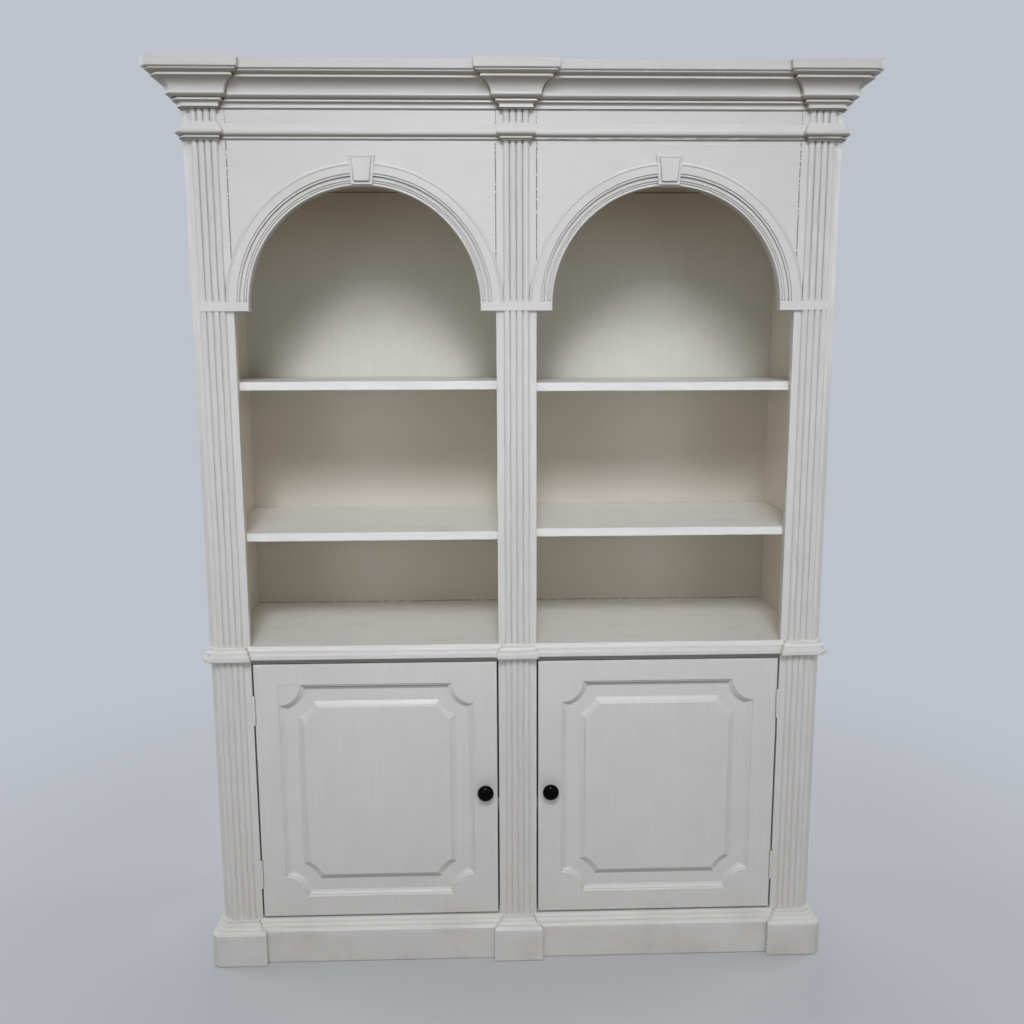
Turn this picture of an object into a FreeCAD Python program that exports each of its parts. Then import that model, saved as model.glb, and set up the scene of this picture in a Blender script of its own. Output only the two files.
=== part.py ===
import FreeCAD, Part
import os
from collections import namedtuple

V = FreeCAD.Vector

# A double arched bookcase over two cupboards, in millimetres, +Z up and the front towards -Y.
# While it is being made, the face of the stiles is at y = 0, and the case lies behind it.
# The finished pieces are moved along Y so that the origin is under the middle of the whole.

# Boards
board = 19.0
side_board = 25.0
back_board = 6.0
back_rebate = 10.0

# Heights, stacked from the floor up
plinth_height = 75.0
base_cap_height = 28.5
cupboard_height = 642.5
waist_height = 31.0
open_height = 752.0
impost_height = 19.5
spandrel_above_arch = 94.0
astragal_height = 31.5
frieze_height = 31.5
cornice_height = 84.0

# Width and depth of the case
body_width = 1410.0
case_depth = 410.0

# Pilasters: a stile with strips of reeds planted on it
reed_count = 4
reed_width = 14.0
reed_valley = 3.5
reed_crest = 8.0
stile_flat = 16.0
outer_flat = 21.0
corner_cant = 13.0

# Mouldings, and how they break forward round each pilaster
cornice_reach = 58.0
astragal_reach = 10.0
waist_reach = 11.0
plinth_reach = 22.0
break_forward = 15.0
break_margin = 8.0
astragal_margin = 4.0
cornice_margin = 4.5

# Arches, their mouldings and keystones
impost_overhang = 34.0
arch_drop = 7.5
archivolt_thickness = 9.0
keystone_top = 56.0
keystone_bottom = 46.0
keystone_height = 62.0
keystone_plate = 11.0
keystone_face = 3.5
keystone_border = 8.5
keystone_bevel = 1.5
keystone_lift = 1.0
ceiling_above_arch = 57.0
cleat_height = 7.0
cleat_depth = 12.0

# Shelves, their pins and the free holes, with heights above the deck
shelf_rise = {"left": (259.0, 600.0), "right": (264.5, 595.5)}
hole_rise = (315.0, 377.0, 441.0, 648.0, 713.0)
shelf_setback = 4.0
shelf_end_gap = 1.0
shelf_back_gap = 2.0
shelf_edge = 1.5
pin_radius = 3.0
pin_socket = 9.0
pin_reach = 9.0
pin_seat_gap = 0.2
front_row = 45.0
back_row = 54.0

# Doors, each with a notched panel that is cut into its face
hinge_gap = 3.6
pull_gap = 4.0
door_end_gap = 3.0
rail_reveal = 9.0
door_edge = 1.5
panel_side_margin = 59.5
panel_top_margin = 56.0
panel_bottom_margin = 52.5
notch_radius = 50.0
bevel_width = 13.0
recess_depth = 6.0
channel_inset = 46.0
raise_width = 10.0
raise_drop = 1.0

# Knobs
knob_radius = 19.0
knob_length = 31.0
knob_from_edge = 28.5
knob_screw_radius = 2.0
knob_screw_head = 4.5
knob_screw_head_height = 2.5
knob_screw_grip = 12.0

# Hinges
hinge_height = 68.0
hinge_from_end = 110.0
knuckle_count = 5
knuckle_radius = 3.5
knuckle_gap = 0.3
knuckle_room = 0.4
hinge_stand_off = 2.5
hinge_pin_radius = 1.5
hinge_tip_radius = 2.6
hinge_tip = 2.0
leaf_thickness = 1.6
leaf_width = 17.0
leaf_screw_spacing = 22.0

# Wood screws, and the room round every screw and pin in its hole
screw_radius = 1.5
screw_head_radius = 3.0
screw_length = 14.0
screw_tip = 3.0
screw_point = 0.3
hole_room = 0.05

# Magnetic catches, and the steel plates that they hold
catch_height = 26.0
catch_depth = 12.0
catch_on_stile = 26.0
catch_behind_door = 14.0
catch_flange = 3.0
catch_overlap = 8.0
catch_below_knob = 44.0
catch_air = 0.4
catch_screw_inset = 8.0
strike_thickness = 1.2
strike_width = 13.0
strike_height = 30.0

# One overrun serves every cut and every crossing of two shapes
overrun = 5.0

# Moulding outlines from the bottom up, as shares of their reach and height.
# Two shares draw a line to that point, and four draw an arc through the first point to the second.
cornice_shares = [
    (0.027, 0.0), (0.054, 0.012), (0.054, 0.083), (0.089, 0.134, 0.170, 0.149), (0.188, 0.149),
    (0.188, 0.202), (0.196, 0.214), (0.366, 0.250), (0.366, 0.274), (0.453, 0.482, 0.688, 0.631),
    (0.732, 0.631), (0.732, 0.679), (0.750, 0.690), (0.789, 0.725, 0.884, 0.738),
    (0.918, 0.760, 0.929, 0.792), (1.0, 0.804), (1.0, 1.0),
]
astragal_shares = [
    (0.10, 0.0), (0.30, 0.05), (0.30, 0.22), (0.45, 0.27), (0.50, 0.33),
    (1.0, 0.49, 0.65, 0.65), (0.45, 0.68), (0.10, 1.0),
]
waist_shares = [
    (0.85, 0.0), (1.0, 0.03), (1.0, 0.335), (0.94, 0.384, 0.82, 0.406), (0.73, 0.42), (0.73, 0.50),
    (0.56, 0.52), (0.56, 0.61), (0.43, 0.75, 0.18, 0.82), (0.12, 0.84), (0.04, 1.0),
]
base_cap_shares = [
    (1.0, 0.0), (1.0, 0.16), (0.93, 0.20), (0.80, 0.33, 0.60, 0.39), (0.52, 0.40), (0.50, 0.43),
    (0.32, 0.52, 0.23, 0.70), (0.18, 0.72), (0.16, 0.75), (0.07, 0.84, 0.03, 1.0),
]
plinth_shares = [(0.96, 0.0), (1.0, 0.03), (1.0, 1.0)]

# The archivolt's outline from the arch's edge outwards, as shares of its width and thickness
archivolt_shares = [
    (0.0, 0.45), (0.04, 0.62, 0.085, 0.48), (0.10, 0.33), (0.225, 0.38), (0.235, 0.31),
    (0.245, 0.40), (0.395, 0.43), (0.405, 0.34), (0.42, 0.66), (0.575, 0.70), (0.585, 0.62),
    (0.60, 0.80), (0.885, 0.77), (0.905, 0.92), (0.97, 0.93, 1.0, 0.42),
]

# The knob's outline from the door outwards, as shares of its radius and length
knob_shares = [
    (0.47, 0.0), (0.47, 0.06), (0.36, 0.12), (0.32, 0.26, 0.42, 0.40), (0.66, 0.44),
    (1.0, 0.64, 0.80, 0.88), (0.50, 0.978, 0.12, 1.0), (0.0, 1.0),
]

# Places across the front that follow from the sizes above
half_body = body_width / 2
strip_width = reed_count * reed_width
bay_in = stile_flat + strip_width / 2
bay_out = half_body - outer_flat - strip_width - stile_flat
bay_middle = (bay_in + bay_out) / 2
arch_radius = (bay_out - bay_in) / 2 - impost_overhang
outer_strip_middle = bay_out + stile_flat + strip_width / 2
side_face = half_body - side_board
divider_face = board / 2
back_face = case_depth - back_board

# Heights above the floor
base_cap_z = plinth_height
cupboard_z = base_cap_z + base_cap_height
bottom_z = cupboard_z - board
waist_z = cupboard_z + cupboard_height
deck_z = waist_z + waist_height
impost_z = deck_z + open_height
impost_top_z = impost_z + impost_height
arch_z = impost_top_z - arch_drop
astragal_z = arch_z + arch_radius + spandrel_above_arch
frieze_z = astragal_z + astragal_height
cornice_z = frieze_z + frieze_height
total_height = cornice_z + cornice_height
case_top_z = total_height - board
spandrel_joint_z = astragal_z + astragal_height / 2

# The arches
archivolt_width = impost_overhang + stile_flat
keystone_z = arch_z + arch_radius + keystone_lift
ceiling_z = arch_z + arch_radius + ceiling_above_arch

# The doors and what they carry
rail_z = waist_z - rail_reveal
door_z = cupboard_z + door_end_gap
door_top_z = rail_z - door_end_gap
door_in = bay_in + pull_gap
door_out = bay_out - hinge_gap
door_middle_z = (door_z + door_top_z) / 2
knob_x = door_in + knob_from_edge
hinge_x = bay_out - hinge_gap / 2
hinge_y = -hinge_stand_off
hinge_centres = (door_z + hinge_from_end, door_top_z - hinge_from_end)
knuckle_length = (hinge_height + knuckle_gap) / knuckle_count - knuckle_gap
leaf_screw_y = leaf_width / 2
catch_z = door_middle_z - catch_below_knob
catch_face = board + strike_thickness + catch_air

# The box of the whole, for the origin
front_y = -(break_forward + cornice_reach)
middle_y = (front_y + case_depth) / 2

UP = V(0, 0, 1)
OUT = V(0, -1, 0)
BACK = V(0, 1, 0)
RIGHT = V(1, 0, 0)
LEFT = V(-1, 0, 0)
CORNER = V(1, -1, 0)
CANT = V(1, 1, 0)

Level = namedtuple("Level", "shares reach low high margin")
cornice = Level(cornice_shares, cornice_reach, cornice_z, total_height, cornice_margin)
astragal = Level(astragal_shares, astragal_reach, astragal_z, frieze_z, astragal_margin)
waist = Level(waist_shares, waist_reach, waist_z, deck_z, break_margin)
base_cap = Level(base_cap_shares, plinth_reach, base_cap_z, cupboard_z, break_margin)
plinth = Level(plinth_shares, plinth_reach, 0, plinth_height, break_margin)


def box(x0, x1, y0, y1, z0, z1):
    """A plain board between two opposite corners."""
    return Part.makeBox(x1 - x0, y1 - y0, z1 - z0, V(x0, y0, z0))


def bar(radius, start, along):
    """A round bar from a point, as long as the vector that it follows."""
    return Part.makeCylinder(radius, along.Length, start, along)


def mirrored(solid):
    """The same piece on the other side of the middle."""
    return solid.mirror(V(0, 0, 0), RIGHT)


def placed(solids, side):
    """Pieces drawn for the right, put on the side that is named."""
    return solids if side == "right" else [mirrored(solid) for solid in solids]


def both(solid):
    """A piece drawn for the right, and its fellow on the left."""
    return [mirrored(solid), solid]


def cut_all(solid, tools):
    """A solid less each of the tools."""
    for tool in tools:
        solid = solid.cut(tool)
    return solid


def polygon(points):
    """A closed wire through a list of points."""
    return Part.makePolygon(points + points[:1])


def profile_face(shares, place, corners):
    """A flat face: a table of lines and arcs, closed through the corners behind it."""
    edges = []
    here = corners[-1]
    for row in shares:
        there = place(*row[-2:])
        if len(row) == 2:
            edges.append(Part.LineSegment(here, there).toShape())
        else:
            edges.append(Part.Arc(here, place(*row[:2]), there).toShape())
        here = there
    for corner in corners:
        edges.append(Part.LineSegment(here, corner).toShape())
        here = corner
    return Part.Face(Part.Wire(edges))


def moulding(level, origin, outward, back, along):
    """A straight moulding: its outline stands out from a plane and is carried along it."""
    def place(out, up):
        height = level.low + up * (level.high - level.low)
        return origin + outward * (out * level.reach) + UP * height
    behind = outward * back
    return profile_face(level.shares, place, [place(0, 1) - behind, place(0, 0) - behind]).extrude(along)


def cant_wedge(low, high):
    """The corner that the cant takes off the right-hand stile."""
    edge = half_body - corner_cant
    corners = [V(edge, 0, low), V(half_body, 0, low), V(half_body, corner_cant, low)]
    return Part.Face(polygon(corners)).extrude(UP * (high - low))


def mitre(level, start, side, third):
    """The triangle on one side of a mitre, which runs forward and outward from a block's edge."""
    clear = level.reach + overrun
    low = UP * (level.low - overrun)
    corners = [start + low, start + (side + OUT) * clear + low, start + third * clear + low]
    return Part.Face(polygon(corners)).extrude(UP * (level.high - level.low + 2 * overrun))


def centre_break(level):
    """A moulding's block on the middle pilaster, with its outline on three sides."""
    core = strip_width / 2 + level.margin
    clear = level.reach + overrun
    block = moulding(level, V(-core - clear, -break_forward, 0), OUT, break_forward,
                     RIGHT * (2 * (core + clear)))
    for side in (LEFT, RIGHT):
        start = side * core + BACK * overrun
        end = moulding(level, start, side, 2 * core + clear, OUT * (break_forward + clear + overrun))
        block = block.common(end).cut(mitre(level, side * core, side, side))
    return block


def corner_break(level):
    """A moulding's block on the right-hand pilaster, canted as the stile behind it is."""
    inner = outer_strip_middle - strip_width / 2 - level.margin
    width = half_body - inner
    clear = level.reach + overrun
    deep = break_forward + clear + overrun
    block = moulding(level, V(inner - clear, -break_forward, 0), OUT, break_forward,
                     RIGHT * (width + 2 * clear))
    block = block.common(moulding(level, V(inner, overrun, 0), LEFT, width + clear, OUT * deep))
    block = block.common(moulding(level, V(half_body, overrun, 0), RIGHT, width + clear, OUT * deep))
    half_cant = corner_cant / 2
    middle = V(half_body - half_cant, half_cant - break_forward, 0)
    sweep = CANT * (width + deep)
    block = block.common(moulding(level, middle - sweep, CORNER, width + deep, sweep * 2))
    block = block.cut(mitre(level, RIGHT * inner, LEFT, LEFT))
    return block.fuse(cant_wedge(level.low, level.high)).removeSplitter()


def main_run(level):
    """The moulding over the right-hand bay, mitred to the blocks at its ends."""
    start = RIGHT * (strip_width / 2 + level.margin)
    end = RIGHT * (outer_strip_middle - strip_width / 2 - level.margin)
    run = moulding(level, start, OUT, 0, end - start)
    return cut_all(run, [mitre(level, start, RIGHT, OUT), mitre(level, end, LEFT, OUT)])


def side_return(level):
    """The moulding along the right-hand side of the case."""
    return moulding(level, V(half_body, 0, 0), RIGHT, 0, BACK * case_depth)


def shelf_pin_heights(side):
    """The heights of the pins' axes under the shelves of one bay."""
    drop = board + pin_seat_gap + pin_radius
    return [deck_z + rise - drop for rise in shelf_rise[side]]


def pin_bars(heights, radius, inside, outside):
    """Round bars through both walls of the right-hand bay, on the front and back rows."""
    bars = []
    for y in (board + front_row, back_face - back_row):
        for z in heights:
            bars.append(bar(radius, V(side_face + inside, y, z), LEFT * (inside + outside)))
            bars.append(bar(radius, V(divider_face - inside, y, z), RIGHT * (inside + outside)))
    return bars


def pin_holes(side):
    """Tools for all the holes of one bay, with pins or without."""
    heights = shelf_pin_heights(side) + [deck_z + rise for rise in hole_rise]
    return placed(pin_bars(heights, pin_radius + hole_room, pin_socket, overrun), side)


def side_panel(side):
    """A side of the case, rebated for the back and bored for the shelf pins."""
    panel = box(side_face, half_body, board, case_depth, 0, case_top_z)
    rebate = box(side_face - overrun, side_face + back_rebate, back_face, case_depth + overrun,
                 bottom_z, case_top_z + overrun)
    return cut_all(placed([panel.cut(rebate)], side)[0], pin_holes(side))


def upper_divider():
    """The board between the two open bays."""
    divider = box(-divider_face, divider_face, board, back_face, deck_z, ceiling_z)
    return cut_all(divider, pin_holes("left") + pin_holes("right"))


def deck():
    """The board over the cupboards, whose front edge comes out between the stiles."""
    shape = box(-side_face, side_face, board, back_face, deck_z - board, deck_z)
    for nose in both(box(bay_in, bay_out, 0, board, deck_z - board, deck_z)):
        shape = shape.fuse(nose)
    return shape.removeSplitter()


def top_board():
    """The board that closes the case, inside the cornice."""
    shape = box(-half_body, half_body, 0, case_depth, case_top_z, total_height)
    return cut_all(shape, both(cant_wedge(case_top_z, total_height)))


def carcass():
    """The boards of the case."""
    inner = board, back_face
    return {
        "left_side": [side_panel("left")],
        "right_side": [side_panel("right")],
        "upper_divider": [upper_divider()],
        "lower_divider": [box(-divider_face, divider_face, *inner, cupboard_z, deck_z - board)],
        "back_panel": [box(-side_face - back_rebate, side_face + back_rebate, back_face, case_depth,
                           bottom_z, case_top_z)],
        "top_board": [top_board()],
        "ceiling_panel": [box(-side_face, side_face, *inner, ceiling_z, ceiling_z + board)],
        "deck": [deck()],
        "bottom_panel": [box(-side_face, side_face, *inner, bottom_z, cupboard_z)],
        "ceiling_cleats": both(box(divider_face, side_face, back_face - cleat_depth, back_face,
                                   ceiling_z - cleat_height, ceiling_z)),
    }


def arch_panel():
    """The panel over the right-hand bay, cut to a half-round arch on short straight feet."""
    panel = box(bay_in, bay_out, 0, board, impost_z, spandrel_joint_z)
    through = BACK * (board + 2 * overrun)
    arch = bar(arch_radius, V(bay_middle, -overrun, arch_z), through)
    feet = box(bay_middle - arch_radius, bay_middle + arch_radius, -overrun, board + overrun,
               impost_z - overrun, arch_z)
    return cut_all(panel, [arch, feet])


def outer_stile(side):
    """A corner stile with its cant and the mortises for the hinges."""
    stile = box(bay_out, half_body, 0, board, 0, case_top_z).cut(cant_wedge(0, case_top_z))
    stile = cut_all(stile, hinge_mortises(bay_out, RIGHT))
    return placed([stile], side)[0]


def centre_stile():
    """The stile between the bays, bored for the catches' screws."""
    stile = box(-bay_in, bay_in, 0, board, 0, case_top_z)
    holes = catch_screws(hole_room)
    return cut_all(stile, holes + placed(holes, "left"))


def face_frame():
    """The stiles, rails and boards that show on the front."""
    face = bay_in, bay_out, 0, board
    left_arch, right_arch = both(arch_panel())
    return {
        "left_stile": [outer_stile("left")],
        "centre_stile": [centre_stile()],
        "right_stile": [outer_stile("right")],
        "waist_rails": both(box(*face, rail_z, deck_z - board)),
        "bottom_rails": both(box(*face, 0, cupboard_z)),
        "left_arch_panel": [left_arch],
        "right_arch_panel": [right_arch],
        "frieze_boards": both(box(*face, spandrel_joint_z, case_top_z)),
    }


def reed_strip(middle, low, high):
    """A strip of reeds side by side, each a flat arc between two valleys."""
    start = middle - strip_width / 2

    def at(reeds, proud):
        return V(start + reeds * reed_width, -proud, low)
    edges = [Part.LineSegment(at(0, 0), at(0, reed_valley)).toShape()]
    for reed in range(reed_count):
        crest = at(reed + 0.5, reed_crest)
        edges.append(Part.Arc(at(reed, reed_valley), crest, at(reed + 1, reed_valley)).toShape())
    edges.append(Part.LineSegment(at(reed_count, reed_valley), at(reed_count, 0)).toShape())
    edges.append(Part.LineSegment(at(reed_count, 0), at(0, 0)).toShape())
    return Part.Face(Part.Wire(edges)).extrude(UP * (high - low))


def reeds(middle):
    """The four strips of one pilaster, between its mouldings."""
    zones = [(cupboard_z, waist_z), (deck_z, impost_z), (impost_top_z, astragal_z),
             (frieze_z, cornice_z)]
    return [reed_strip(middle, low, high) for low, high in zones]


def keystone():
    """A tapered plate with a smaller bevelled face on it, over the right-hand arch."""
    def outline(inset, proud):
        low = keystone_z + inset
        high = keystone_z + keystone_height - inset
        foot = keystone_bottom / 2 - inset
        head = keystone_top / 2 - inset
        corners = [(-foot, low), (foot, low), (head, high), (-head, high)]
        return polygon([V(bay_middle + x, -proud, z) for x, z in corners])
    plate = Part.Face(outline(0, 0)).extrude(OUT * keystone_plate)
    top = keystone_plate + keystone_face
    face = Part.makeLoft([outline(keystone_border, keystone_plate),
                          outline(keystone_border + keystone_bevel, top)], True, True)
    return plate.fuse(face).removeSplitter()


def archivolt():
    """The moulding round the right-hand arch, in two lengths that meet the keystone."""
    def place(out, proud):
        x = bay_middle + arch_radius + out * archivolt_width
        return V(x, -proud * archivolt_thickness, arch_z)
    face = profile_face(archivolt_shares, place, [place(1, 0), place(0, 0)])
    ring = face.revolve(V(bay_middle, 0, arch_z), OUT, 180)
    reach = arch_radius + archivolt_width + overrun
    depth = -archivolt_thickness - overrun, overrun
    feet = box(bay_middle - reach, bay_middle + reach, *depth, arch_z - overrun, impost_top_z)
    foot = keystone_bottom / 2
    under_keystone = box(bay_middle - foot, bay_middle + foot, *depth, arch_z, keystone_z)
    return cut_all(ring, [feet, under_keystone, keystone()])


def impost_blocks():
    """The plain blocks from which the arches spring."""
    height = impost_z, impost_top_z
    inner = bay_in + impost_overhang
    outer = box(bay_out - impost_overhang, outer_strip_middle + strip_width / 2, -reed_crest, 0, *height)
    return [box(-inner, inner, -reed_crest, 0, *height)] + both(outer)


def trim():
    """What is planted on the face frame, apart from the mouldings that run round the case."""
    left_arch, right_arch = both(archivolt())
    return {
        "left_archivolt": left_arch.Solids,
        "right_archivolt": right_arch.Solids,
        "keystones": both(keystone()),
        "imposts": impost_blocks(),
        "left_reeds": reeds(-outer_strip_middle),
        "centre_reeds": reeds(0),
        "right_reeds": reeds(outer_strip_middle),
    }


def mouldings():
    """The mouldings that run round the case and break forward at each pilaster."""
    left_corner, right_corner = both(corner_break(cornice))
    left_return, right_return = both(side_return(cornice))
    nodes = {
        "cornice_runs": both(main_run(cornice)),
        "cornice_left_corner": [left_corner, left_return],
        "cornice_centre_block": [centre_break(cornice)],
        "cornice_right_corner": [right_corner, right_return],
    }
    names = {"astragal": astragal, "waist_moulding": waist, "base_cap": base_cap, "plinth": plinth}
    for name, level in names.items():
        nodes[name + "_runs"] = both(main_run(level)) + both(side_return(level))
        nodes[name + "_blocks"] = [centre_break(level)] + both(corner_break(level))
    return nodes


def screw(start, along, room=0):
    """A countersunk screw from its head's face, or with room added, the tool for its hole."""
    neck = screw_head_radius - screw_radius
    radius = screw_radius + room
    shank = bar(radius, start, along * (screw_length - screw_tip))
    head = Part.makeCone(screw_head_radius + room, radius, neck, start, along)
    tip_start = start + along * (screw_length - screw_tip)
    tip = Part.makeCone(radius, screw_point + room, screw_tip, tip_start, along)
    return shank.fuse([head, tip]).removeSplitter()


def leaf_screws(face, along, room=0):
    """The screws through one leaf of each hinge."""
    places = [middle + step * leaf_screw_spacing for middle in hinge_centres for step in (-1, 0, 1)]
    return [screw(V(face, leaf_screw_y, z), along, room) for z in places]


def hinge_mortises(face, along):
    """Tools that let the leaves into an edge and clear the knuckles and screws."""
    tools = leaf_screws(face, along, hole_room)
    inner, outer = sorted((face - overrun * along.x, face + leaf_thickness * along.x))
    reach = hinge_height / 2 + hinge_tip + knuckle_room
    for middle in hinge_centres:
        half = hinge_height / 2
        tools.append(box(inner, outer, -overrun, leaf_width, middle - half, middle + half))
        tools.append(bar(knuckle_radius + knuckle_room, V(hinge_x, hinge_y, middle - reach),
                         UP * (2 * reach)))
    return tools


def hinge_leaf(middle, face, along, own):
    """A leaf with its own knuckles, cut clear of its fellow's knuckles, the pin and the screws."""
    low = middle - hinge_height / 2
    inner, outer = sorted((face, face + leaf_thickness * along.x))
    leaf = box(inner, outer, hinge_y, leaf_width, low, low + hinge_height)
    pitch = knuckle_length + knuckle_gap
    for index in range(knuckle_count):
        start = low + index * pitch
        if index in own:
            leaf = leaf.fuse(bar(knuckle_radius, V(hinge_x, hinge_y, start), UP * knuckle_length))
        else:
            room = bar(knuckle_radius + knuckle_room, V(hinge_x, hinge_y, start - knuckle_gap),
                       UP * (knuckle_length + 2 * knuckle_gap))
            leaf = leaf.cut(room)
    bore = bar(hinge_pin_radius + hole_room, V(hinge_x, hinge_y, low - overrun),
               UP * (hinge_height + 2 * overrun))
    return cut_all(leaf, [bore] + leaf_screws(face, along, hole_room)).removeSplitter()


def hinge_pin(middle):
    """A hinge pin with a small tip over each end knuckle."""
    half = hinge_height / 2
    low = V(hinge_x, hinge_y, middle - half)
    high = V(hinge_x, hinge_y, middle + half)
    pin = bar(hinge_pin_radius, low, UP * hinge_height)
    tips = [Part.makeCone(hinge_tip_radius, hinge_pin_radius, hinge_tip, high, UP),
            Part.makeCone(hinge_tip_radius, hinge_pin_radius, hinge_tip, low, -UP)]
    return pin.fuse(tips).removeSplitter()


def hinges():
    """The butt hinges: leaves in the stiles and doors, their pins and screws."""
    frame_own = range(0, knuckle_count, 2)
    door_own = range(1, knuckle_count, 2)
    frame_leaves = [hinge_leaf(middle, bay_out, RIGHT, frame_own) for middle in hinge_centres]
    door_leaves = [hinge_leaf(middle, door_out, LEFT, door_own) for middle in hinge_centres]
    pins = [hinge_pin(middle) for middle in hinge_centres]
    frame_screws = leaf_screws(bay_out, RIGHT)
    door_screws = leaf_screws(door_out, LEFT)
    nodes = {"hinge_frame_screws": placed(frame_screws, "left") + frame_screws}
    for side in ("left", "right"):
        nodes[side + "_hinge_frame_leaves"] = placed(frame_leaves, side)
        nodes[side + "_hinge_door_leaves"] = placed(door_leaves, side)
        nodes[side + "_hinge_pins"] = placed(pins, side)
        nodes[side + "_hinge_door_screws"] = placed(door_screws, side)
    return nodes


def panel_taper(near, near_inset, far, far_inset):
    """The notched panel outline as a solid that tapers from one depth and inset to another."""
    def rectangle(y, inset):
        left = door_in + panel_side_margin + inset
        right = door_out - panel_side_margin - inset
        low = door_z + panel_bottom_margin + inset
        high = door_top_z - panel_top_margin - inset
        return polygon([V(left, y, low), V(right, y, low), V(right, y, high), V(left, y, high)])
    block = Part.makeLoft([rectangle(near, near_inset), rectangle(far, far_inset)], True, True)
    notches = []
    for corner in rectangle(near, 0).Vertexes:
        notches.append(Part.makeCone(notch_radius + near_inset, notch_radius + far_inset, far - near,
                                     corner.Point, BACK))
    return cut_all(block, notches)


def door(side):
    """A door with eased edges, its sunk panel, and its cuts for hinges, knob and strike."""
    leaf = box(door_in, door_out, 0, board, door_z, door_top_z)
    front = [edge for edge in leaf.Edges if edge.BoundBox.YMax < door_edge]
    leaf = leaf.makeFillet(door_edge, front)
    slope = bevel_width / recess_depth
    rise = raise_width / (recess_depth - raise_drop)
    pocket = panel_taper(-overrun, -overrun * slope, recess_depth, bevel_width)
    island = panel_taper(raise_drop, channel_inset + raise_width,
                         recess_depth + overrun, channel_inset - overrun * rise)
    knob_hole = bar(knob_screw_radius + hole_room, V(knob_x, -overrun, door_middle_z),
                    BACK * (board + 2 * overrun))
    leaf = leaf.cut(pocket.cut(island))
    leaf = cut_all(leaf, [knob_hole, strike_screw(hole_room)] + hinge_mortises(door_out, LEFT))
    return placed([leaf], side)[0]


def knob():
    """A turned knob on a short neck, bored for its screw."""
    def place(out, along):
        return V(knob_x + out * knob_radius, -along * knob_length, door_middle_z)
    shape = profile_face(knob_shares, place, [place(0, 0)]).revolve(place(0, 0), OUT, 360)
    bore = bar(knob_screw_radius + hole_room, V(knob_x, overrun, door_middle_z),
               OUT * (overrun + knob_screw_grip))
    return shape.cut(bore)


def knob_screw():
    """The screw that holds a knob from behind the door."""
    seat = V(knob_x, board, door_middle_z)
    shank = bar(knob_screw_radius, seat, OUT * (board + knob_screw_grip))
    return shank.fuse(bar(knob_screw_head, seat, BACK * knob_screw_head_height)).removeSplitter()


def strike_screw(room=0):
    """The screw through a strike plate into the back of the door."""
    x = door_in + catch_behind_door / 2
    return screw(V(x, board + strike_thickness, catch_z), OUT, room)


def strike():
    """The steel plate on the back of a door, and its screw."""
    x = door_in + (catch_behind_door - strike_width) / 2
    plate = box(x, x + strike_width, board, board + strike_thickness,
                catch_z - strike_height / 2, catch_z + strike_height / 2)
    return [plate.cut(strike_screw(hole_room)), strike_screw()]


def catch_screws(room=0):
    """The screws that hold one catch to the back of the middle stile."""
    x = bay_in - catch_on_stile + catch_screw_inset
    step = catch_height / 2 - catch_screw_inset
    return [screw(V(x, board + catch_flange, catch_z + way * step), OUT, room) for way in (-1, 1)]


def catch():
    """A magnet in its housing behind the door's edge, on a flange, with its screws."""
    low = catch_z - catch_height / 2
    high = catch_z + catch_height / 2
    flange = box(bay_in - catch_on_stile, bay_in, board, board + catch_flange, low, high)
    housing = box(bay_in - catch_overlap, door_in + catch_behind_door,
                  catch_face, catch_face + catch_depth, low, high)
    body = cut_all(flange.fuse(housing), catch_screws(hole_room)).removeSplitter()
    return [body] + catch_screws()


def doors():
    """The doors and all that is fixed to them or holds them shut."""
    right_catch = catch()
    nodes = {"door_catches": placed(right_catch, "left") + right_catch}
    for side in ("left", "right"):
        nodes[side + "_door"] = [door(side)]
        nodes[side + "_knob"] = placed([knob()], side)
        nodes[side + "_knob_screw"] = placed([knob_screw()], side)
        nodes[side + "_strike"] = placed(strike(), side)
    return nodes


def shelf(rise):
    """A loose shelf in the right-hand bay, with its front edges eased."""
    top = deck_z + rise
    plank = box(divider_face + shelf_end_gap, side_face - shelf_end_gap,
                board + shelf_setback, back_face - shelf_back_gap, top - board, top)
    front = [edge for edge in plank.Edges if edge.BoundBox.YMax < board + shelf_setback + shelf_edge
             and edge.BoundBox.XLength > board]
    return plank.makeFillet(shelf_edge, front)


def shelves():
    """The four loose shelves and the pins that they lie on."""
    nodes = {"shelf_pins": []}
    for side in ("left", "right"):
        pins = pin_bars(shelf_pin_heights(side), pin_radius, pin_socket, pin_reach)
        nodes["shelf_pins"] += placed(pins, side)
        for level, rise in zip(("lower", "upper"), shelf_rise[side]):
            nodes[side + "_" + level + "_shelf"] = placed([shelf(rise)], side)
    return nodes


def export(nodes):
    """One file for each node, moved so that the origin is under the middle of the whole."""
    os.makedirs("parts", exist_ok=True)
    for name, solids in nodes.items():
        shape = solids[0] if len(solids) == 1 else Part.makeCompound(solids)
        shape.translate(V(0, -middle_y, 0))
        shape.exportStep("parts/" + name + ".step")
        print(name, "solids", len(solids), "volume", round(shape.Volume), "valid", shape.isValid())
    print(len(nodes), "nodes")


export({**carcass(), **face_frame(), **trim(), **mouldings(), **doors(), **hinges(), **shelves()})
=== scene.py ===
import math

import bmesh
import bpy
import numpy as np
from mathutils import Matrix, Vector


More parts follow.
